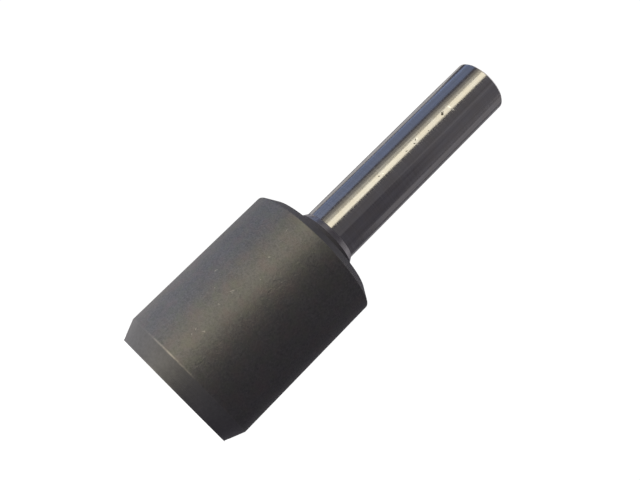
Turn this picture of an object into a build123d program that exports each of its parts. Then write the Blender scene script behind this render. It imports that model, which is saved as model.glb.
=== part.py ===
"""A hollow drill bit for paper: a thin-walled steel cup with a sharp rim, and a straight shank.

The bit is turned in one piece from a steel bar. It stands on its cutting edge. The origin is
the centre of that edge, and +Z runs up the axis to the end of the shank. Lengths are in mm
and angles in degrees.
"""

import os
from math import radians, tan
from build123d import *

# The cutting end: the hole that the bit cuts, the honed flat on its edge and the outside bevel
cut_diameter = 28.0
edge_land = 0.12
bevel_height = 4.15

# The body: a cup whose wall is measured at the sizing land, just above the edge
body_wall = 1.875
body_height = 41.3

# The hollow: a short sizing land, then a wider bore that frees the paper discs, and a conical
# roof that leads to the passage in the shank
sizing_land_height = 5.0
bore_relief = 0.2
relief_lead_height = 1.0
web_height = 7.3
roof_slope = 30.0
roof_corner_radius = 0.8
roof_throat_radius = 1.0

# The back of the body: a wide flat chamfer round the shoulder, with its two edges just eased
shoulder_chamfer_width = 2.7
shoulder_chamfer_height = 1.8
shoulder_edge_radius = 0.25

# The root of the shank: a collar that the grinding wheel can't reach, and the wheel's run-out
collar_step = 0.8
collar_height = 2.2
collar_corner_radius = 0.8
run_out_height = 1.3

# The shank: a 1/2 inch straight shank for a chuck or a collet, bored through for a push rod
shank_diameter = 12.7
shank_length = 48.6
shank_wall = 2.4
shank_end_break = 0.4
passage_mouth_break = 0.5

# Radii that follow from the sizes above
cut_radius = cut_diameter / 2
edge_outer_radius = cut_radius + edge_land
relieved_radius = cut_radius + bore_relief
body_radius = cut_radius + body_wall
shoulder_radius = body_radius - shoulder_chamfer_width
shank_radius = shank_diameter / 2
collar_radius = shank_radius + collar_step
passage_radius = shank_radius - shank_wall

# Heights above the cutting edge that follow from the sizes above
relief_start = sizing_land_height + relief_lead_height
roof_start = body_height - web_height
roof_rise_per_mm = tan(radians(roof_slope))
roof_tip = roof_start + relieved_radius * roof_rise_per_mm
roof_throat = roof_tip - passage_radius * roof_rise_per_mm
chamfer_start = body_height - shoulder_chamfer_height
collar_top = body_height + collar_height
shank_start = collar_top + run_out_height
overall_height = shank_start + shank_length


def rim(part, radius, height):
    """The round edge that a turned part has at this radius and height."""
    return part.edges().filter_by(
        lambda edge: edge.geom_type == GeomType.CIRCLE
        and abs(edge.radius - radius) < 0.001
        and abs(edge.arc_center.Z - height) < 0.001
    )


with BuildPart() as drill_bit:
    # The outside: half of its section, spun round the axis as a lathe turns it
    with BuildSketch(Plane.XZ):
        with BuildLine():
            Polyline(
                (0, 0),
                (edge_outer_radius, 0),
                (body_radius, bevel_height),
                (body_radius, chamfer_start),
                (shoulder_radius, body_height),
                (collar_radius, body_height),
                (collar_radius, collar_top),
                # The wheel's run-out is a short cone from the collar in to the shank
                (shank_radius, shank_start),
                (shank_radius, overall_height),
                (0, overall_height),
                (0, 0),
            )
        make_face()
    revolve(axis=Axis.Z)

    # The hollow: the sizing land at the edge, the wider bore above it and the conical roof
    with BuildSketch(Plane.XZ):
        with BuildLine():
            Polyline(
                (0, 0),
                (cut_radius, 0),
                (cut_radius, sizing_land_height),
                (relieved_radius, relief_start),
                (relieved_radius, roof_start),
                (0, roof_tip),
                (0, 0),
            )
        make_face()
    revolve(axis=Axis.Z, mode=Mode.SUBTRACT)

    # The passage: one hole down the shank, which opens into the top of the hollow
    with Locations((0, 0, overall_height)):
        Hole(passage_radius)

    # Corners that the turning tool leaves round inside the cup and beside the collar
    fillet(rim(drill_bit, relieved_radius, roof_start), roof_corner_radius)
    fillet(rim(drill_bit, passage_radius, roof_throat), roof_throat_radius)
    fillet(rim(drill_bit, collar_radius, body_height), collar_corner_radius)

    # Edges eased for the hand, and chamfers that lead the shank and the rod in
    fillet(rim(drill_bit, body_radius, chamfer_start), shoulder_edge_radius)
    fillet(rim(drill_bit, shoulder_radius, body_height), shoulder_edge_radius)
    chamfer(rim(drill_bit, shank_radius, overall_height), shank_end_break)
    chamfer(rim(drill_bit, passage_radius, overall_height), passage_mouth_break)

drill_bit.part.label = "drill_bit"
os.makedirs("parts", exist_ok=True)
export_step(drill_bit.part, "parts/drill_bit.step")

steel_volume = drill_bit.part.volume
print(f"overall height {overall_height:.1f} mm, body {2 * body_radius:.2f} mm across")
print(f"steel in the bit: {steel_volume / 1000:.2f} cubic centimetres")
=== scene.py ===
# %% [markdown]
# A hollow drill bit for paper, in Blender
#
# The real bit cuts round holes through a stack of paper. It is one piece of steel, turned from a
# bar: a cup with a sharp rim at one end and a straight ground shank at the other. The cup and the
# root of the shank have a dark oxide skin, and the shank is bright steel.
#
# The CAD model is loaded first and stays where it is. It is the ruler for all that follows: the
# bit stands on its cutting edge, the axis is Z, and every length is in metres.

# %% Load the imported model
from math import atan2, cos, degrees, hypot, pi, radians, sin, tan

import bmesh
import bpy
from mathutils import Matrix, Vector


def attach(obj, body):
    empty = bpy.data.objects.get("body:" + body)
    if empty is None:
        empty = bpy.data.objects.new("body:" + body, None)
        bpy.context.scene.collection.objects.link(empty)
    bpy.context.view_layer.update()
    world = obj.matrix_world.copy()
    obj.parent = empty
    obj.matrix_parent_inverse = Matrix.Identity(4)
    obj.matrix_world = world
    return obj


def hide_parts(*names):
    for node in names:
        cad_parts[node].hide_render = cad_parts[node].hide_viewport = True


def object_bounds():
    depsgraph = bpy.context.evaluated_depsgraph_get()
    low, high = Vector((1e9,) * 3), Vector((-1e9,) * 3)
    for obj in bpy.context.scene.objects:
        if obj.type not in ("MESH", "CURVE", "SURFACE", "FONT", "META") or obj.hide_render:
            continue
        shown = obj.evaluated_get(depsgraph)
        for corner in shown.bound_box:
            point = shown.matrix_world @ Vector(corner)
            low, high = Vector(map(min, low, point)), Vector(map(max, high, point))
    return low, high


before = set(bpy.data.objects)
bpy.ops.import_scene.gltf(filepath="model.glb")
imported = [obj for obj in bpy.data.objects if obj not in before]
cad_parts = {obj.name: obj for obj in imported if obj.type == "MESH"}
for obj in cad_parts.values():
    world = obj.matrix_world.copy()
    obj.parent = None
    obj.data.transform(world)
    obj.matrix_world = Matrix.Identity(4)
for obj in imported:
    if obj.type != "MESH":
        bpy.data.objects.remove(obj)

cad_low, cad_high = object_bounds()
mm = 0.001
print("CAD box in mm:", [round(side / mm, 3) for side in cad_high - cad_low])

# %% [markdown]
# The camera
#
# The photograph looks at the bit from the side, a little from the cutting end, and the bit runs
# from the lower left to the upper right of the picture. The model stands upright, so here the
# camera does the leaning: it sits just above the floor, looks up at the bit and is rolled on its
# own axis. A longer lens from further away would flatten the bit, and the photograph shows its
# rims as clear arcs, so the camera is close.

# %% Set the camera
scene = bpy.context.scene
camera_spot = Vector((0.0, -185.3 * mm, 1.0 * mm))
camera_level = radians(90.0)
camera_pan = radians(0.24)
camera_tilt = radians(12.71)
camera_roll = radians(45.2)

camera_lens = bpy.data.cameras.new("photo_camera")
camera_lens.sensor_width = 36.0
camera_lens.lens = 51.0
camera_lens.clip_start = 1.0 * mm
camera_lens.clip_end = 20.0
camera = bpy.data.objects.new("photo_camera", camera_lens)
scene.collection.objects.link(camera)
camera.matrix_world = (
    Matrix.Translation(camera_spot)
    @ Matrix.Rotation(camera_pan, 4, "Z")
    @ Matrix.Rotation(camera_level + camera_tilt, 4, "X")
    @ Matrix.Rotation(camera_roll, 4, "Z")
)
scene.camera = camera
print("camera at", [round(value, 4) for value in camera.location])

# %% [markdown]
# The stage
#
# The floor is plain and pale, and it runs so far back that its end can't be told from the white
# behind it. A floor could also be a curved sheet of paper, as in a studio, but the camera is so
# low that a flat one looks the same. The camera sees the floor, and the bit throws its shadow on
# it, but the steel doesn't mirror it. So the polish on the shank comes from the lamps alone.
#
# The shadow needs a light of its own. It comes from straight above and from a very wide disc, as
# from a bright ceiling, so the shadow is soft and stays close round the cup. The steel doesn't
# mirror this light either.

# %% Lay the floor
floor_side = 8.0
floor_drop = 0.01 * mm
floor_tone = (0.82, 0.82, 0.82, 1.0)
floor_glow = 0.50

bpy.ops.object.select_all(action="DESELECT")
bpy.ops.mesh.primitive_plane_add(size=floor_side, location=(0.0, 0.0, -floor_drop))
floor = bpy.context.object
floor.name = "pale_floor"
floor.visible_glossy = False
floor.visible_diffuse = False
floor.visible_shadow = False

floor_paint = bpy.data.materials.new("pale_floor_paint")
floor_paint.use_nodes = True
floor_shader = floor_paint.node_tree.nodes["Principled BSDF"]
floor_shader.inputs["Base Color"].default_value = floor_tone
floor_shader.inputs["Roughness"].default_value = 0.9
floor_shader.inputs["Specular IOR Level"].default_value = 0.0
floor_shader.inputs["Emission Color"].default_value = (1.0, 1.0, 1.0, 1.0)
floor_shader.inputs["Emission Strength"].default_value = floor_glow
floor.data.materials.append(floor_paint)
print("floor side in m:", floor_side)

# %% Light the floor from above
ceiling_strength = 2.3

ceiling = bpy.data.lights.new("ceiling_light", "SUN")
ceiling.angle = radians(110.0)
ceiling.energy = ceiling_strength
ceiling_spot = bpy.data.objects.new("ceiling_light", ceiling)
scene.collection.objects.link(ceiling_spot)
ceiling_spot.location = (0.0, 0.0, 1.0)
ceiling_spot.visible_glossy = False
ceiling_spot.visible_camera = False
print("the ceiling light is", round(degrees(ceiling.angle)), "degrees wide")

# %% Make the room white for the camera and dim for the steel
seen_white = (1.0, 1.0, 1.0, 1.0)
seen_strength = 1.05
dim_tint = (0.97, 0.92, 1.09, 1.0)
dim_strength = 0.076

room = bpy.data.worlds.new("studio_room")
scene.world = room
room.use_nodes = True
room_tree = room.node_tree
room_tree.nodes.clear()
room_out = room_tree.nodes.new("ShaderNodeOutputWorld")
room_mix = room_tree.nodes.new("ShaderNodeMixShader")
room_rays = room_tree.nodes.new("ShaderNodeLightPath")
room_seen = room_tree.nodes.new("ShaderNodeBackground")
room_dim = room_tree.nodes.new("ShaderNodeBackground")
room_seen.inputs["Color"].default_value = seen_white
room_seen.inputs["Strength"].default_value = seen_strength
room_dim.inputs["Color"].default_value = dim_tint
room_dim.inputs["Strength"].default_value = dim_strength
room_tree.links.new(room_rays.outputs["Is Camera Ray"], room_mix.inputs["Fac"])
room_tree.links.new(room_dim.outputs["Background"], room_mix.inputs[1])
room_tree.links.new(room_seen.outputs["Background"], room_mix.inputs[2])
room_tree.links.new(room_mix.outputs["Shader"], room_out.inputs["Surface"])
scene.view_settings.view_transform = "Standard"
print("the camera sees the room at", seen_strength, "and the steel at", dim_strength)

# %% [markdown]
# The lamps
#
# Polished steel shows its surroundings, so a round shank is a strip picture of the room. The
# photograph shows a warm bright band, a cool blue band and a long dark side. Each band is a soft
# panel here, with weaker ones beside it for its soft border. A picture of a real room wrapped
# round the scene would do the same, but panels are plain, and each can be named for what it does.
#
# A panel stands on a circle round the bit. Its turn is counted from the camera, with left of the
# bit as minus, and its rise from the middle of the bit. The three panels of the warm band also
# lean, so that the band stays as wide at the end of the shank as at its root.
#
# The dark skin is duller and mirrors a wide stretch of the room at once. Weaker panels fill it
# in: from the left for the body, from below for the bevel, and from above for the shoulder and
# the ring. Those behind the bit light its outline and the side that the photograph doesn't show.

# %% Hang one soft panel
lamp_aim = Vector((0.0, 0.0, 48.0 * mm))
lamp_reach = 0.60


def hang_panel(name, turn, rise, width, height, glow, colour, lean=0.0):
    """A soft panel that faces the bit. Glow is how bright its face looks, 1 being white"""
    lamp = bpy.data.lights.new(name, "AREA")
    lamp.shape = "RECTANGLE"
    lamp.size = width
    lamp.size_y = height
    lamp.energy = glow * pi * width * height
    lamp.color = colour
    panel = bpy.data.objects.new(name, lamp)
    scene.collection.objects.link(panel)
    side = Vector((sin(radians(turn)), -cos(radians(turn)), 0.0)) * cos(radians(rise))
    spot = lamp_aim + lamp_reach * (side + Vector((0.0, 0.0, sin(radians(rise)))))
    panel.location = spot
    facing = (lamp_aim - spot).to_track_quat("-Z", "Y").to_matrix()
    panel.rotation_euler = (facing @ Matrix.Rotation(radians(lean), 3, "Z")).to_euler()
    panel.visible_camera = False
    wide = degrees(2.0 * atan2(width / 2.0, lamp_reach))
    print(name, "covers", round(wide), "degrees round the bit")


# %% Hang them all
warm_white = (1.0, 0.94, 0.745)
soft_warm = (1.0, 0.95, 0.84)
cool_blue = (0.43, 0.59, 1.0)
plain_white = (1.0, 0.98, 0.97)
pale_blue = (0.96, 0.97, 1.0)
cool_white = (0.98, 0.955, 1.0)
key_lean = -11.0

# A row holds the name, turn, rise, width, height, glow, colour and, for some, the lean.
panels = [
    ("warm_key", -30.9, -2.0, 0.235, 1.12, 1.33, warm_white, key_lean),
    ("warm_key_edge", -48.5, -2.0, 0.11, 1.12, 0.48, warm_white, key_lean),
    ("warm_key_spill", -60.0, -2.0, 0.14, 1.12, 0.16, warm_white, key_lean),
    ("warm_low", -52.0, -13.0, 0.26, 0.24, 0.34, soft_warm),
    ("cool_side", -93.0, 20.0, 0.42, 0.75, 0.24, cool_blue),
    ("cool_edge", -117.0, 20.0, 0.09, 0.75, 0.34, cool_blue),
    ("mid_left", -91.0, -3.0, 0.76, 0.28, 0.51, pale_blue),
    ("low_left", -95.0, -38.0, 0.70, 0.50, 0.44, plain_white),
    ("low_right", 46.0, -40.0, 0.60, 0.40, 0.055, cool_white),
    ("back_left", -141.0, -4.0, 0.30, 0.75, 0.42, plain_white),
    ("low_back_left", -138.0, -12.0, 0.34, 0.36, 0.29, plain_white),
    ("back_right", 156.0, 4.0, 0.35, 1.10, 0.12, cool_white),
    ("high_left", -160.0, 44.0, 0.36, 0.34, 0.46, plain_white),
    ("high_right", 112.0, 50.0, 0.60, 0.34, 0.165, plain_white),
    ("back_middle", 178.0, -6.0, 0.24, 0.90, 0.42, plain_white),
    ("top_left", -65.0, 69.0, 0.18, 0.18, 0.20, plain_white),
    ("top_back", 180.0, 68.0, 0.42, 0.42, 0.80, plain_white),
    ("side_right", 113.0, 32.0, 0.34, 0.34, 0.12, cool_white),
    ("side_front", 58.5, 33.0, 0.70, 0.22, 0.048, cool_white),
    ("front_fill", 11.0, 4.0, 0.40, 1.10, 0.036, plain_white),
]
for row in panels:
    hang_panel(*row)

# %% [markdown]
# The bit itself
#
# On a lathe the bit is one outline, turned round. It could be built up in Blender from cylinders
# and cones, or ring by ring out of a circle. Drawing half of its section and spinning it is
# nearer to the real work: every corner is one point of the drawing, so it is easy to check, and
# the wall, the hollow and the passage come out of the same line as one closed skin.
#
# The drawing starts as a small plane whose corners are merged into one point, on the inner side
# of the cutting edge. From there each corner is reached by an extrude. The line runs up the
# outside, over the end of the shank and back down the inside to where it began.

# %% Name the sizes of the outside
cut_radius = 14.0 * mm
edge_land = 0.12 * mm
bevel_height = 4.15 * mm
body_radius = 15.875 * mm
chamfer_start = 39.5 * mm
body_height = 41.3 * mm
shoulder_radius = 13.175 * mm
collar_radius = 7.15 * mm
collar_top = 43.5 * mm
shank_start = 44.8 * mm
shank_radius = 6.35 * mm
overall_height = cad_high.z
end_break = 0.4 * mm
print("overall height in mm:", round(overall_height / mm, 2))

# %% Name the sizes of the hollow
relieved_radius = 14.2 * mm
sizing_land_height = 5.0 * mm
relief_start = 6.0 * mm
roof_start = 34.0 * mm
roof_slope = radians(30.0)
passage_radius = 3.95 * mm
roof_throat = roof_start + (relieved_radius - passage_radius) * tan(roof_slope)
mouth_break = 0.5 * mm
print("the roof meets the passage at", round(roof_throat / mm, 2), "mm")

# %% Put down the first point
first_plane = 0.1 * mm

bpy.ops.object.select_all(action="DESELECT")
bpy.ops.mesh.primitive_plane_add(size=first_plane, location=(cut_radius, 0.0, 0.0))
bit = bpy.context.object
bit.name = "paper_drill_bit"
bit.data.name = "paper_drill_bit"
bpy.ops.object.transform_apply(location=True, rotation=True, scale=True)
bpy.ops.object.mode_set(mode="EDIT")
bpy.ops.mesh.select_mode(type="VERT")
bpy.ops.mesh.select_all(action="SELECT")
bpy.ops.mesh.merge(type="CENTER")
print("points to start from:", len(bmesh.from_edit_mesh(bit.data).verts))

# %% Draw the outside, from the cutting edge up to the collar
drawn = [(cut_radius, 0.0)]


def draw_to(radius, height):
    """Draws one straight line of the section, from the last corner to this one"""
    last_radius, last_height = drawn[-1]
    step = (radius - last_radius, 0.0, height - last_height)
    bpy.ops.mesh.extrude_vertices_move(TRANSFORM_OT_translate={"value": step})
    drawn.append((radius, height))


draw_to(cut_radius + edge_land, 0.0)
draw_to(body_radius, bevel_height)
draw_to(body_radius, chamfer_start)
draw_to(shoulder_radius, body_height)
draw_to(collar_radius, body_height)
draw_to(collar_radius, collar_top)
print("corners drawn:", len(drawn))

# %% Draw the run-out that the grinding wheel leaves
draw_to(shank_radius, shank_start)
run_out_lean = degrees(atan2(collar_radius - shank_radius, shank_start - collar_top))
print("the run-out leans in by", round(run_out_lean, 1), "degrees")

# %% Draw the shank and come back down inside, to where the line began
merge_gap = 0.001 * mm

draw_to(shank_radius, overall_height - end_break)
draw_to(shank_radius - end_break, overall_height)
draw_to(passage_radius + mouth_break, overall_height)
draw_to(passage_radius, overall_height - mouth_break)
draw_to(passage_radius, roof_throat)
draw_to(relieved_radius, roof_start)
draw_to(relieved_radius, relief_start)
draw_to(cut_radius, sizing_land_height)
draw_to(cut_radius, 0.0)
bpy.ops.mesh.select_all(action="SELECT")
bpy.ops.mesh.remove_doubles(threshold=merge_gap)
print("points in the section:", len(bmesh.from_edit_mesh(bit.data).verts))

# %% [markdown]
# Rounded corners
#
# No corner on turned steel is perfectly sharp. The roof of the cup, its throat and the foot of
# the collar have real radii from the tool. The other corners are broken by a few hundredths of a
# millimetre to a quarter of one, which is enough to catch a thin line of light. The corners could
# be bevelled after the spin, all round, but here each is still a single point, so it is one quick
# bevel.

# %% Round one corner of the section
def round_corner(radius, height, corner_radius, steps):
    """Rounds one corner of the drawn section to this radius, in so many steps"""
    section = bmesh.from_edit_mesh(bit.data)
    corner = Vector((radius, 0.0, height))
    near = min(section.verts, key=lambda point: (point.co - corner).length)
    arms = [(edge.other_vert(near).co - near.co).normalized() for edge in near.link_edges]
    opening = arms[0].angle(arms[1])
    for point in section.verts:
        point.select = point == near
    section.select_flush_mode()
    bmesh.update_edit_mesh(bit.data)
    bpy.ops.mesh.bevel(
        affect="VERTICES",
        offset_type="OFFSET",
        offset=corner_radius / tan(opening / 2.0),
        segments=steps,
        profile=0.5,
    )
    print("rounded at", round(radius / mm, 2), round(height / mm, 2), "by", corner_radius / mm)


# %% Round the corners that the tools leave round
tool_steps = 8
roof_round = 0.8 * mm
throat_round = 1.0 * mm
foot_round = 0.8 * mm

round_corner(relieved_radius, roof_start, roof_round, steps=tool_steps)
round_corner(passage_radius, roof_throat, throat_round, steps=tool_steps)
round_corner(collar_radius, body_height, foot_round, steps=tool_steps)

# %% Break the corners of the cup
shoulder_break = 0.25 * mm
bevel_break = 0.12 * mm
honed_break = 0.02 * mm
collar_break = 0.05 * mm

round_corner(body_radius, chamfer_start, shoulder_break, steps=6)
round_corner(shoulder_radius, body_height, shoulder_break, steps=6)
round_corner(body_radius, bevel_height, bevel_break, steps=4)
round_corner(cut_radius + edge_land, 0.0, honed_break, steps=2)
round_corner(collar_radius, collar_top, collar_break, steps=3)

# %% Break the corners at the end of the shank
side_break = 0.15 * mm
face_break = 0.10 * mm
hole_break = 0.06 * mm

round_corner(shank_radius, overall_height - end_break, side_break, steps=4)
round_corner(shank_radius - end_break, overall_height, face_break, steps=4)
round_corner(passage_radius + mouth_break, overall_height, hole_break, steps=3)
round_corner(passage_radius, overall_height - mouth_break, hole_break, steps=3)

# %% [markdown]
# The spin
#
# One full turn makes the whole skin. The first and the last copy of the section lie on each
# other, so their points are merged before the faces are told which way is out.

# %% Spin the section round the axis
turn_steps = 256

bpy.ops.mesh.select_all(action="SELECT")
bpy.ops.mesh.spin(
    steps=turn_steps,
    angle=2.0 * pi,
    center=(0.0, 0.0, 0.0),
    axis=(0.0, 0.0, 1.0),
)
bpy.ops.mesh.select_all(action="SELECT")
bpy.ops.mesh.remove_doubles(threshold=merge_gap)
bpy.ops.mesh.normals_make_consistent(inside=False)
bpy.ops.object.mode_set(mode="OBJECT")
print("faces after the spin:", len(bit.data.polygons))

# %% Shade it smooth, with the flats kept flat
sharp_angle = radians(28.0)

bpy.ops.object.shade_smooth_by_angle(angle=sharp_angle)
bpy.ops.object.modifier_add(type="WEIGHTED_NORMAL")
bit.modifiers[-1].keep_sharp = True
bpy.ops.object.modifier_apply(modifier=bit.modifiers[-1].name)
print("corners sharper than", round(degrees(sharp_angle)), "degrees stay crisp")

# %% Check that the skin is closed
cubic_cm = 1e-6

check = bmesh.new()
check.from_mesh(bit.data)
open_edges = [edge for edge in check.edges if len(edge.link_faces) != 2]
steel_volume = check.calc_volume(signed=True)
check.free()
print("open edges:", len(open_edges), "volume in cubic cm:", round(steel_volume / cubic_cm, 3))

# %% [markdown]
# Finishes
#
# The finishes belong to regions of one piece: the dark oxide skin of the body, the duller skins
# of the shoulder and the collar, the skin on the cutting bevel, the honed edge, the bored inside,
# the bright ring of the run-out, the ground shank and the drilled passage. What they share, such
# as grain, tool lines, worn rims and small marks, is made once as a node group and set
# differently in each.

# %% Helpers for wiring nodes
def give(tree, value, socket):
    """Gives a socket a plain value, or wires it to another socket"""
    if isinstance(value, bpy.types.NodeSocket):
        tree.links.new(value, socket)
    else:
        socket.default_value = value


def add_node(tree, kind, inputs, **settings):
    """Adds a node, sets it up and fills its inputs"""
    node = tree.nodes.new(kind)
    for name, value in settings.items():
        setattr(node, name, value)
    for name, value in inputs.items():
        give(tree, value, node.inputs[name])
    return node


def own_place(tree):
    """Where a point lies, in the piece's own coordinates"""
    return add_node(tree, "ShaderNodeTexCoord", {}).outputs["Object"]


# %% Helpers for numbers and colours
whole = (0.0, 1.0)


def reckon(tree, kind, first, second=0.0, clamp=False):
    """One step of arithmetic on sockets or numbers"""
    inputs = {0: first, 1: second}
    return add_node(tree, "ShaderNodeMath", inputs, operation=kind, use_clamp=clamp).outputs[0]


def vector_step(tree, kind, inputs, result="Vector"):
    """One step of arithmetic on vectors"""
    return add_node(tree, "ShaderNodeVectorMath", inputs, operation=kind).outputs[result]


def carry(tree, amount, old, new):
    """Carries an amount from one range over to another"""
    inputs = {"Value": amount, "From Min": old[0], "From Max": old[1]}
    inputs.update({"To Min": new[0], "To Max": new[1]})
    return add_node(tree, "ShaderNodeMapRange", inputs).outputs[0]


def blend(tree, amount, first, second):
    """A colour that goes from the first to the second as the amount goes from 0 to 1"""
    inputs = {0: amount}
    for place, colour in ((6, first), (7, second)):
        inputs[place] = (*colour, 1.0) if isinstance(colour, tuple) else colour
    return add_node(tree, "ShaderNodeMix", inputs, data_type="RGBA").outputs[2]


# %% Helpers for noise
noise_span = (0.3, 0.7)


def add_noise(tree, place, scale, detail, roughness):
    """Noise at a place. Nearly all of it lies in the noise span"""
    inputs = {"Vector": place, "Scale": scale, "Detail": detail, "Roughness": roughness}
    return add_node(tree, "ShaderNodeTexNoise", inputs).outputs["Fac"]


def squeeze(tree, length, across, along):
    """The own place scaled by across in X and Y, with this length scaled by along as its Z"""
    parts = add_node(tree, "ShaderNodeSeparateXYZ", {0: own_place(tree)}).outputs
    inputs = {
        "X": reckon(tree, "MULTIPLY", parts["X"], across),
        "Y": reckon(tree, "MULTIPLY", parts["Y"], across),
        "Z": reckon(tree, "MULTIPLY", length, along),
    }
    return add_node(tree, "ShaderNodeCombineXYZ", inputs).outputs[0]


# %% Helpers for effects
def start_effect(name, inputs, outputs):
    """A new node group with named inputs and outputs"""
    group = bpy.data.node_groups.new(name, "ShaderNodeTree")
    for label, value in inputs.items():
        kind = "NodeSocketVector" if isinstance(value, tuple) else "NodeSocketFloat"
        group.interface.new_socket(label, in_out="INPUT", socket_type=kind).default_value = value
    for label in outputs:
        group.interface.new_socket(label, in_out="OUTPUT", socket_type="NodeSocketFloat")
    entry = group.nodes.new("NodeGroupInput")
    leave = group.nodes.new("NodeGroupOutput")
    print(name, "takes", list(inputs), "and gives", outputs)
    return group, entry.outputs, leave.inputs


def use_effect(tree, group, **values):
    """Places an effect in a material with its own values"""
    inputs = {name.replace("_", " "): value for name, value in values.items()}
    return add_node(tree, "ShaderNodeGroup", inputs, node_tree=group).outputs


# %% [markdown]
# Where a point is on the lathe
#
# Most effects on a turned piece depend on two lengths only: how far a point is from the axis and
# how high it is. A first small effect works both out from the piece's own coordinates, which are
# the CAD frame's, so that the others can name a rim by its radius and height.

# %% Make the lathe place effect
lathe_place, _, leave = start_effect("lathe_place", {}, ["Radius", "Height"])
spot = own_place(lathe_place)
flat = vector_step(lathe_place, "MULTIPLY", {0: spot, 1: (1.0, 1.0, 0.0)})
radius = vector_step(lathe_place, "LENGTH", {0: flat}, "Value")
height = add_node(lathe_place, "ShaderNodeSeparateXYZ", {0: spot}).outputs["Z"]
lathe_place.links.new(radius, leave["Radius"])
lathe_place.links.new(height, leave["Height"])

# %% [markdown]
# Grain and clouds
#
# An oxide skin is never one even tone. It has fine grain, like very fine sandpaper, a coarser
# mottle, and soft clouds a few millimetres wide where the bath took a little more or less. One
# noise for each.

# %% Make the grain effect
steel_grain, entry, leave = start_effect(
    "steel_grain",
    {"Grain per metre": 5000.0, "Mottle per metre": 1500.0, "Clouds per metre": 120.0},
    ["Grain", "Mottle", "Clouds"],
)
spot = own_place(steel_grain)
for label, detail in (("Grain", 2.0), ("Mottle", 2.0), ("Clouds", 3.0)):
    per_metre = entry[label + " per metre"]
    noise = add_noise(steel_grain, spot, scale=per_metre, detail=detail, roughness=0.55)
    steel_grain.links.new(noise, leave[label])

# %% [markdown]
# Tool lines
#
# A turning tool or a grinding wheel leaves fine lines round the axis, on walls and on flats
# alike. Radius plus height is the same all along such a line. So a noise that is very fine along
# that sum, and coarse across the bit, draws the lines and lets each one fade and come back.

# %% Make the tool line effect
tool_lines, entry, leave = start_effect(
    "tool_lines", {"Lines per metre": 8000.0, "Breaks per metre": 60.0}, ["Lines"]
)
on_lathe = use_effect(tool_lines, lathe_place)
along = reckon(tool_lines, "ADD", on_lathe["Radius"], on_lathe["Height"])
spot = squeeze(tool_lines, along, entry["Breaks per metre"], entry["Lines per metre"])
noise = add_noise(tool_lines, spot, scale=1.0, detail=2.0, roughness=0.6)
tool_lines.links.new(noise, leave["Lines"])

# %% [markdown]
# Worn rims and their painted highlight
#
# The dark skin rubs off first where something touches it, which is on the rims. Each rim of this
# bit is a circle with a known radius and height, so the wear is a matter of how near that circle
# a point is, broken up by noise. The rims also carry a painted highlight: the pale line is kept
# strongest on the side where the warm key lamp makes its highlight, and faint round the rest. A
# bevel shader could find edges by itself, but it finds all of them alike, and here each rim is
# worn by its own amount.

# %% Make the effect of worn rims with a painted highlight
rim_wear_and_highlight, entry, leave = start_effect(
    "rim_wear_and_highlight",
    {
        "Rim radius": 0.0,
        "Rim height": 0.0,
        "Reach": 0.2 * mm,
        "Breaks per metre": 420.0,
        # This side faces where the warm key lamp's highlight falls, so the pale rim there is a
        # painted highlight
        "Highlight side": (-0.31, -0.95, 0.0),
    },
    ["Wear"],
)
spot = own_place(rim_wear_and_highlight)
on_lathe = use_effect(rim_wear_and_highlight, lathe_place)
outward = reckon(rim_wear_and_highlight, "SUBTRACT", on_lathe["Radius"], entry["Rim radius"])
upward = reckon(rim_wear_and_highlight, "SUBTRACT", on_lathe["Height"], entry["Rim height"])
gap = add_node(rim_wear_and_highlight, "ShaderNodeCombineXYZ", {"X": outward, "Y": upward}).outputs[0]
gap = vector_step(rim_wear_and_highlight, "LENGTH", {0: gap}, "Value")
share = reckon(rim_wear_and_highlight, "DIVIDE", gap, entry["Reach"])
near = reckon(rim_wear_and_highlight, "SUBTRACT", 1.0, share, clamp=True)

# %% Break the wear up, and keep the painted highlight to the lamp's side
broken_span = (0.38, 0.58)
broken_share = (0.20, 1.0)
facing_span = (0.89, 0.99)
facing_share = (0.12, 1.0)

per_metre = entry["Breaks per metre"]
breaks = add_noise(rim_wear_and_highlight, spot, scale=per_metre, detail=4.0, roughness=0.7)
kept = carry(rim_wear_and_highlight, breaks, broken_span, broken_share)
facing = vector_step(rim_wear_and_highlight, "DOT_PRODUCT", {0: spot, 1: entry["Highlight side"]}, "Value")
facing = reckon(rim_wear_and_highlight, "DIVIDE", facing, on_lathe["Radius"])
# Facing that side turns the pale rim into a painted highlight on the lamp's side
kept = reckon(rim_wear_and_highlight, "MULTIPLY", kept, carry(rim_wear_and_highlight, facing, facing_span, facing_share))
rim_wear_and_highlight.links.new(reckon(rim_wear_and_highlight, "MULTIPLY", near, kept), leave["Wear"])
print("rim_wear_and_highlight holds", len(rim_wear_and_highlight.nodes), "nodes")

# %% [markdown]
# Small marks
#
# The bit has been handled: a few pale nicks show on the dark body, and dark pits, pale glints and
# a scratch on the bright shank. They are placed one by one, because noise would scatter them
# evenly and real ones don't lie evenly. A mark is an uneven spot round one point of the surface.

# %% Make the mark effect
small_mark, entry, leave = start_effect(
    "small_mark",
    {
        "Place": (0.0, 0.0, 0.0),
        "Along": (0.0, 0.0, 1.0),
        "Shortening": 0.7,
        "Size": 0.3 * mm,
    },
    ["Mark"],
)
spot = own_place(small_mark)
gap = vector_step(small_mark, "SUBTRACT", {0: spot, 1: entry["Place"]})
run = vector_step(small_mark, "DOT_PRODUCT", {0: gap, 1: entry["Along"]}, "Value")
run = reckon(small_mark, "MULTIPLY", run, entry["Shortening"])
pulled = vector_step(small_mark, "SCALE", {0: entry["Along"], "Scale": run})
gap = vector_step(small_mark, "DISTANCE", {0: gap, 1: pulled}, "Value")
share = reckon(small_mark, "DIVIDE", gap, entry["Size"])

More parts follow.
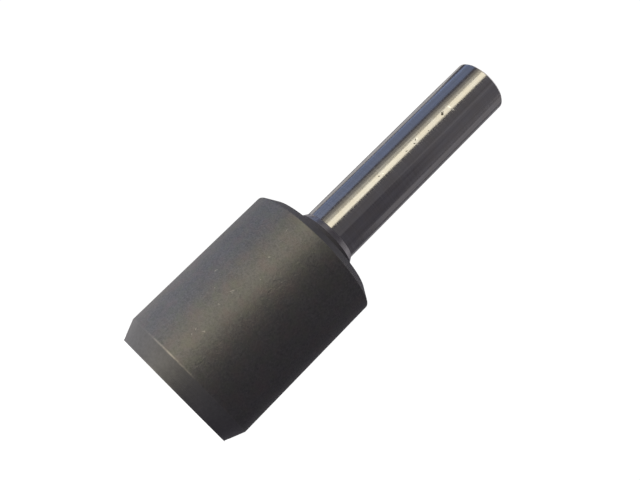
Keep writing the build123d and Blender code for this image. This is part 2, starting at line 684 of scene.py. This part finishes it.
# %% Make its border ragged
ragged_per_metre = 2400.0
ragged_by = (-0.5, 0.5)
border_span = (0.45, 1.0)

ragged = add_noise(small_mark, spot, scale=ragged_per_metre, detail=2.0, roughness=0.6)
ragged = carry(small_mark, ragged, noise_span, ragged_by)
share = reckon(small_mark, "ADD", share, ragged)
small_mark.links.new(carry(small_mark, share, border_span, (1.0, 0.0)), leave["Mark"])
print("small_mark holds", len(small_mark.nodes), "nodes")


# %% Put marks on a wall
def put_marks(tree, radius, marks):
    """Puts marks on a wall. Each has a height in mm, a turn to the left in degrees, a half width
    in mm, a length as a multiple of the width, and a lean away from the axis in degrees"""
    total = None
    for height, turn, size, stretch, lean in marks:
        side = radians(turn)
        point = (-radius * sin(side), -radius * cos(side), height * mm)
        round_it = sin(radians(lean))
        along = (-cos(side) * round_it, sin(side) * round_it, cos(radians(lean)))
        shortening = 1.0 - 1.0 / stretch
        one = use_effect(
            tree, small_mark, Place=point, Along=along, Shortening=shortening, Size=size * mm
        )["Mark"]
        total = one if total is None else reckon(tree, "MAXIMUM", total, one)
    print("marks placed:", len(marks))
    return total


# %% [markdown]
# Lengthwise streaks
#
# A shank that is pushed in and out of its holder again and again gets faint streaks along it.
# They run the other way from the wheel's lines: fine round the shank, and very long up it.

# %% Make the streak effect
long_streaks, entry, leave = start_effect(
    "long_streaks", {"Streaks per metre": 1500.0, "Ends per metre": 22.0}, ["Streaks"]
)
up = use_effect(long_streaks, lathe_place)["Height"]
spot = squeeze(long_streaks, up, entry["Streaks per metre"], entry["Ends per metre"])
noise = add_noise(long_streaks, spot, scale=1.0, detail=2.0, roughness=0.6)
long_streaks.links.new(noise, leave["Streaks"])

# %% [markdown]
# Hairlines
#
# Sliding on a bench draws fine straight scratches. A noise that is squeezed a lot in one
# direction is nearly a set of lines, and only one value of it is kept, which leaves hairs.

# %% Make the hairline effect
hair_squeeze = (60.0, 60.0, 1400.0)
hair_value = 0.66

hairlines, entry, leave = start_effect(
    "hairlines", {"Turn": (0.4, 0.7, 0.2), "Width": 0.012}, ["Hairs"]
)
inputs = {"Vector": own_place(hairlines), "Rotation": entry["Turn"], "Scale": hair_squeeze}
turned = add_node(hairlines, "ShaderNodeMapping", inputs).outputs["Vector"]
noise = add_noise(hairlines, turned, scale=1.0, detail=1.0, roughness=0.5)
off_value = reckon(hairlines, "ABSOLUTE", reckon(hairlines, "SUBTRACT", noise, hair_value))
share = reckon(hairlines, "DIVIDE", off_value, entry["Width"])
hairs = reckon(hairlines, "SUBTRACT", 1.0, share, clamp=True)
hairlines.links.new(hairs, leave["Hairs"])

# %% [markdown]
# The oxide skin
#
# The body was turned, then blackened in a hot bath. The skin is a thin hard layer on the steel,
# so it is still a metal surface, only a dark and satin one. It could be painted as a plain black
# plastic, but then it would lose the way real blackened steel brightens towards a lamp. The bath
# also leaves faint brownish and olive clouds, which keep the dark from looking like one paint.

# %% Start a finish
def start_finish(name):
    """A new metal finish for the bit, with its node tree and the inputs of its shader"""
    finish = bpy.data.materials.new(name)
    finish.use_nodes = True
    shader = finish.node_tree.nodes["Principled BSDF"]
    shader.inputs["Metallic"].default_value = 1.0
    bit.data.materials.append(finish)
    print("finish", len(bit.data.materials), "is", name)
    return finish.node_tree, shader.inputs


def add_relief(tree, shader, height, depth):
    """Feeds a height into the shader's normal, as a relief this deep"""
    inputs = {"Strength": 1.0, "Distance": depth, "Height": height}
    tree.links.new(add_node(tree, "ShaderNodeBump", inputs).outputs["Normal"], shader["Normal"])


# %% Place the nicks of the body
body_nicks = [
    (17.0, 20.4, 0.18, 1.8, -50.0),
    (20.5, 20.6, 0.19, 3.2, -35.0),
    (20.2, 19.6, 0.14, 2.5, -30.0),
    (30.0, 19.2, 0.19, 1.8, -45.0),
    (25.7, 12.3, 0.11, 1.5, 0.0),
    (21.3, 42.2, 0.14, 3.6, -24.0),
    (18.7, 31.7, 0.12, 2.0, 30.0),
    (36.0, 24.2, 0.15, 2.5, 10.0),
    (9.5, 18.9, 0.13, 2.2, -10.0),
    (10.7, 19.4, 0.12, 2.2, 20.0),
    (11.4, 14.3, 0.20, 2.8, -62.0),
]

tree, shader = start_finish("oxide_skin")
nicks = put_marks(tree, body_radius, body_nicks)

# %% Wear the body down to bare steel at its rims, nicks and hairlines, with a painted highlight on the rims
body_wear_and_highlight_reach = 0.30 * mm
chamfer_share = 0.3
nick_share = 0.7
hair_share = 0.08


def wear_and_highlight_at(tree, radius, height, reach):
    """How worn the skin is near one rim, with a painted highlight on the lamp's side"""
    return use_effect(tree, rim_wear_and_highlight, Rim_radius=radius, Rim_height=height, Reach=reach)["Wear"]


chamfer_wear_and_highlight = wear_and_highlight_at(tree, body_radius, chamfer_start, body_wear_and_highlight_reach)
chamfer_wear_and_highlight = reckon(tree, "MULTIPLY", chamfer_wear_and_highlight, chamfer_share)
bare_and_highlight = wear_and_highlight_at(tree, body_radius, bevel_height, body_wear_and_highlight_reach)
bare_and_highlight = reckon(tree, "MAXIMUM", bare_and_highlight, chamfer_wear_and_highlight)
bare_and_highlight = reckon(tree, "MAXIMUM", bare_and_highlight, reckon(tree, "MULTIPLY", nicks, nick_share))
hairs = use_effect(tree, hairlines, Turn=(0.5, 0.9, 0.3), Width=0.010)["Hairs"]
bare_and_highlight = reckon(tree, "MAXIMUM", bare_and_highlight, reckon(tree, "MULTIPLY", hairs, hair_share))
print("a rim is worn for", body_wear_and_highlight_reach / mm, "mm on either side")

# %% Colour the skin
skin_dark = (0.205, 0.201, 0.200)
skin_pale = (0.332, 0.325, 0.321)
skin_rusty = (0.338, 0.280, 0.270)
skin_olive = (0.276, 0.292, 0.241)
# The pale steel tone below is bare steel, and on the rims it also serves as a painted highlight
worn_steel_and_highlight = (0.66, 0.62, 0.57)
cloud_weight = 0.3
grain_weight = 0.7
tint_span = (0.7, 1.3)
bath_clouds = [(330.0, skin_rusty), (450.0, skin_olive)]
cloud_span = (0.45, 0.70)
cloud_share = (0.0, 0.50)

grain = use_effect(
    tree,
    steel_grain,
    Grain_per_metre=5200.0,
    Mottle_per_metre=2300.0,
    Clouds_per_metre=150.0,
)
tint = reckon(tree, "MULTIPLY", grain["Clouds"], cloud_weight)
tint = reckon(tree, "ADD", tint, reckon(tree, "MULTIPLY", grain["Grain"], grain_weight))
tint = reckon(tree, "ADD", tint, grain["Mottle"])
skin = blend(tree, carry(tree, tint, tint_span, whole), skin_dark, skin_pale)
for per_metre, tone in bath_clouds:
    clouds = use_effect(tree, steel_grain, Clouds_per_metre=per_metre)["Clouds"]
    skin = blend(tree, carry(tree, clouds, cloud_span, cloud_share), skin, tone)
    print("clouds of the bath about", round(1.0 / per_metre / mm, 1), "mm wide")
# Bare steel, and the painted highlight on the rims, go into the skin's colour here
tree.links.new(blend(tree, bare_and_highlight, skin, worn_steel_and_highlight), shader["Base Color"])

# %% Make the skin satin and a little uneven
skin_roughness = (0.46, 0.56)
skin_depth = 0.037 * mm
mottle_height = 1.5

tree.links.new(carry(tree, grain["Grain"], noise_span, skin_roughness), shader["Roughness"])
mottle = reckon(tree, "MULTIPLY", grain["Mottle"], mottle_height)
relief = reckon(tree, "ADD", grain["Grain"], mottle)
relief = reckon(tree, "SUBTRACT", relief, nicks)
add_relief(tree, shader, relief, skin_depth)
print("oxide_skin holds", len(tree.nodes), "nodes")

# %% [markdown]
# The shoulder and the collar
#
# The chamfer, the flat of the shoulder and the collar are left as the lathe made them and take
# the bath deeper than the body does, so they are darker and duller. They could share the body's
# finish, but then the band at the root of the shank would be as pale as the body. The collar is
# drawn a little paler than the shoulder.

# %% Paint the shoulder and the collar
dull_spread = 0.04
dull_line_height = 0.6
dull_depth = 0.010 * mm

# A row holds the name, the middle of the roughness, and the dark and the pale tone.
dull_skins = [
    ("shoulder_skin", 0.80, (0.219, 0.215, 0.234), (0.268, 0.264, 0.287)),
    ("collar_skin", 0.86, (0.274, 0.267, 0.290), (0.331, 0.322, 0.350)),
]
for name, dull, dark, pale in dull_skins:
    tree, shader = start_finish(name)
    grain = use_effect(tree, steel_grain, Grain_per_metre=4200.0, Clouds_per_metre=160.0)
    lines = use_effect(tree, tool_lines, Lines_per_metre=5200.0, Breaks_per_metre=40.0)["Lines"]
    tint = carry(tree, grain["Clouds"], noise_span, whole)
    tree.links.new(blend(tree, tint, dark, pale), shader["Base Color"])
    dullness = carry(tree, grain["Grain"], noise_span, (dull - dull_spread, dull + dull_spread))
    tree.links.new(dullness, shader["Roughness"])
    relief = reckon(tree, "ADD", grain["Grain"], reckon(tree, "MULTIPLY", lines, dull_line_height))
    add_relief(tree, shader, relief, dull_depth)

# %% [markdown]
# The cutting bevel
#
# The bevel is ground before the bath, so it carries the same skin. It is drawn a little greyer,
# with clearer lines, because grinding leaves it finer than turning does. Its two rims are worn
# pale, the upper one most, and both carry a painted highlight on the side where the warm key
# lamp's highlight falls.

# %% Wear the rims of the bevel and paint their highlight
top_wear_and_highlight_reach = 0.24 * mm
edge_wear_and_highlight_reach = 0.25 * mm
edge_share = 0.6

tree, shader = start_finish("bevel_skin")
top_wear_and_highlight = wear_and_highlight_at(tree, body_radius, bevel_height, top_wear_and_highlight_reach)
edge_wear_and_highlight = wear_and_highlight_at(tree, cut_radius + edge_land, 0.0, edge_wear_and_highlight_reach)
worn_and_highlight = reckon(tree, "MAXIMUM", top_wear_and_highlight, reckon(tree, "MULTIPLY", edge_wear_and_highlight, edge_share))

# %% Paint the bevel
bevel_dark = (0.268, 0.265, 0.266)
bevel_pale = (0.350, 0.345, 0.345)
bevel_tint_span = (1.1, 1.9)
bevel_roughness = (0.49, 0.57)
bevel_depth = 0.026 * mm

grain = use_effect(tree, steel_grain, Grain_per_metre=5200.0, Clouds_per_metre=200.0)
lines = use_effect(tree, tool_lines, Lines_per_metre=9000.0, Breaks_per_metre=50.0)["Lines"]
tint = reckon(tree, "ADD", grain["Clouds"], grain["Grain"])
tint = carry(tree, reckon(tree, "ADD", tint, grain["Mottle"]), bevel_tint_span, whole)
skin = blend(tree, tint, bevel_dark, bevel_pale)
# The pale rims here are worn steel with a painted highlight on the lamp's side
tree.links.new(blend(tree, worn_and_highlight, skin, worn_steel_and_highlight), shader["Base Color"])
tree.links.new(carry(tree, grain["Grain"], noise_span, bevel_roughness), shader["Roughness"])
add_relief(tree, shader, reckon(tree, "ADD", grain["Grain"], lines), bevel_depth)
print("bevel_skin holds", len(tree.nodes), "nodes")

# %% [markdown]
# Bright steel
#
# The honed edge, the run-out ring and the shank are bare steel. They differ in how fine they are
# ground: the edge is honed on a stone, the ring is what the corner of the wheel leaves, and the
# shank is ground round to size, with faint lines round it that cut the highlight into ticks. The
# inside is bare too, but bored and drilled, so it is darker and its lines are coarser.

# %% Paint steel that shows little but its tool lines
def paint_cut_steel(name, lines_per_metre, breaks_per_metre, dark, pale, roughness):
    """Starts a finish whose tone and roughness follow the tool lines"""
    tree, shader = start_finish(name)
    lines = use_effect(
        tree, tool_lines, Lines_per_metre=lines_per_metre, Breaks_per_metre=breaks_per_metre
    )["Lines"]
    tree.links.new(blend(tree, lines, dark, pale), shader["Base Color"])
    tree.links.new(carry(tree, lines, noise_span, roughness), shader["Roughness"])
    return tree, shader, lines


# %% Polish the honed edge
honed_dark = (0.55, 0.54, 0.52)
honed_pale = (0.72, 0.71, 0.69)
honed_roughness = (0.16, 0.26)

paint_cut_steel(
    "honed_edge",
    lines_per_metre=20000.0,
    breaks_per_metre=80.0,
    dark=honed_dark,
    pale=honed_pale,
    roughness=honed_roughness,
)

# %% Paint the bored inside of the cup
bored_dark = (0.17, 0.165, 0.16)
bored_pale = (0.27, 0.26, 0.25)
bored_tint_span = (0.5, 1.1)
bored_line_share = 0.6
bored_roughness = (0.30, 0.45)
bored_depth = 0.010 * mm

tree, shader = start_finish("bored_steel")
grain = use_effect(tree, steel_grain, Grain_per_metre=4200.0, Clouds_per_metre=160.0)
lines = use_effect(tree, tool_lines, Lines_per_metre=4200.0, Breaks_per_metre=30.0)["Lines"]
tint = reckon(tree, "MULTIPLY", lines, bored_line_share)
tint = carry(tree, reckon(tree, "ADD", tint, grain["Clouds"]), bored_tint_span, whole)
tree.links.new(blend(tree, tint, bored_dark, bored_pale), shader["Base Color"])
tree.links.new(carry(tree, lines, noise_span, bored_roughness), shader["Roughness"])
add_relief(tree, shader, lines, bored_depth)

# %% Polish the run-out ring
ring_dark = (0.50, 0.48, 0.49)
ring_pale = (0.60, 0.58, 0.59)
ring_roughness = (0.26, 0.34)
ring_depth = 0.002 * mm

tree, shader, lines = paint_cut_steel(
    "run_out_ring",
    lines_per_metre=9000.0,
    breaks_per_metre=40.0,
    dark=ring_dark,
    pale=ring_pale,
    roughness=ring_roughness,
)
add_relief(tree, shader, lines, ring_depth)

# %% Place the marks of the shank
shank_pits = [
    (59.8, 13.8, 0.15, 2.0, -25.0),
    (68.0, 10.6, 0.15, 1.8, -30.0),
    (70.4, 10.6, 0.14, 1.6, -20.0),
    (71.2, 15.1, 0.13, 2.6, 40.0),
    (74.6, 9.0, 0.10, 1.8, -20.0),
    (79.6, 13.1, 0.30, 1.8, 45.0),
    (80.0, 15.0, 0.10, 2.0, 45.0),
]
shank_glints = [
    (81.8, 13.3, 0.22, 2.2, -80.0),
    (71.6, 14.0, 0.10, 3.0, 40.0),
    (60.8, 11.8, 0.14, 2.0, -30.0),
]
shank_scratches = [
    (81.8, 6.2, 0.18, 3.6, -72.0),
]

tree, shader = start_finish("ground_shank")
pits = put_marks(tree, shank_radius, shank_pits)
glints = put_marks(tree, shank_radius, shank_glints)
scratches = put_marks(tree, shank_radius, shank_scratches)

# %% Colour the ground shank
shank_dark = (0.52, 0.51, 0.505)
shank_pale = (0.73, 0.72, 0.71)
shank_warm = (0.60, 0.55, 0.46)
scraped_steel = (0.90, 0.89, 0.87)
pit_dirt = (0.09, 0.08, 0.06)
shank_line_share = 0.35
shank_tint_span = (0.4, 0.95)
warm_span = (0.35, 0.65)
warm_share = (0.0, 0.35)

lines = use_effect(tree, tool_lines, Lines_per_metre=4200.0, Breaks_per_metre=90.0)["Lines"]
streaks = use_effect(tree, long_streaks)["Streaks"]
tint = reckon(tree, "ADD", reckon(tree, "MULTIPLY", lines, shank_line_share), streaks)
tone = blend(tree, carry(tree, tint, shank_tint_span, whole), shank_dark, shank_pale)
clouds = use_effect(tree, steel_grain, Clouds_per_metre=420.0)["Clouds"]
tone = blend(tree, carry(tree, clouds, warm_span, warm_share), tone, shank_warm)
tone = blend(tree, reckon(tree, "MAXIMUM", glints, scratches), tone, scraped_steel)
tree.links.new(blend(tree, pits, tone, pit_dirt), shader["Base Color"])
print("tones of the shank:", shank_dark, "to", shank_pale)

# %% Polish it, but for the pits and the scratch
shank_roughness = (0.12, 0.20)
scuff_share = 0.4
shank_depth = 0.001 * mm
pit_height = 6.0

gloss = carry(tree, lines, noise_span, shank_roughness)
scuff = reckon(tree, "MULTIPLY", reckon(tree, "MAXIMUM", pits, scratches), scuff_share)
tree.links.new(reckon(tree, "ADD", gloss, scuff), shader["Roughness"])
relief = reckon(tree, "SUBTRACT", lines, reckon(tree, "MULTIPLY", pits, pit_height))
add_relief(tree, shader, relief, shank_depth)
print("ground_shank holds", len(tree.nodes), "nodes")

# %% Paint the drilled passage
drilled_dark = (0.20, 0.19, 0.18)
drilled_pale = (0.36, 0.35, 0.34)
drilled_roughness = (0.30, 0.46)
drilled_depth = 0.010 * mm

tree, shader, lines = paint_cut_steel(
    "drilled_passage",
    lines_per_metre=3000.0,
    breaks_per_metre=30.0,
    dark=drilled_dark,
    pale=drilled_pale,
    roughness=drilled_roughness,
)
add_relief(tree, shader, lines, drilled_depth)

# %% [markdown]
# Which face has which finish
#
# The regions meet at known radii and heights, so each face is told its finish from where its
# middle lies and which way it looks. Painting masks by hand would do it too, but they would have
# to be redone whenever a size changes.

# %% Say where each finish ends
inward_share = -0.01
honed_top = 0.03 * mm
bevel_looks_down = -0.2
skin_top = chamfer_start + 0.15 * mm
flat_top = body_height + 0.01 * mm
print("the body's skin ends at", round(skin_top / mm, 2), "mm")


def finish_for(middle, normal):
    """The finish of one face, from its place on the lathe and the way it looks"""
    radius = hypot(middle.x, middle.y)
    looks_in = normal.x * middle.x + normal.y * middle.y < inward_share * radius
    if looks_in and middle.z < roof_throat:
        return "bored_steel"
    if looks_in:
        return "drilled_passage"
    if middle.z < honed_top:
        return "honed_edge"
    if middle.z < bevel_height and normal.z < bevel_looks_down:
        return "bevel_skin"
    if middle.z < skin_top:
        return "oxide_skin"
    if middle.z < flat_top:
        return "shoulder_skin"
    if middle.z < collar_top:
        return "collar_skin"
    if middle.z < shank_start:
        return "run_out_ring"
    return "ground_shank"


# %% Give each face its finish
finish_names = [finish.name for finish in bit.data.materials]
counts = {name: 0 for name in finish_names}
for face in bit.data.polygons:
    name = finish_for(face.center, face.normal)
    face.material_index = finish_names.index(name)
    counts[name] += 1
print("faces of each finish:", counts)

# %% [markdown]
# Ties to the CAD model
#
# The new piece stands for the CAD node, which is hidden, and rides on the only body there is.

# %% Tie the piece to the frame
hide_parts("drill_bit")
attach(bit, "root")
print(bit.name, "stands for drill_bit, has the slot tool_steel and rides on root")
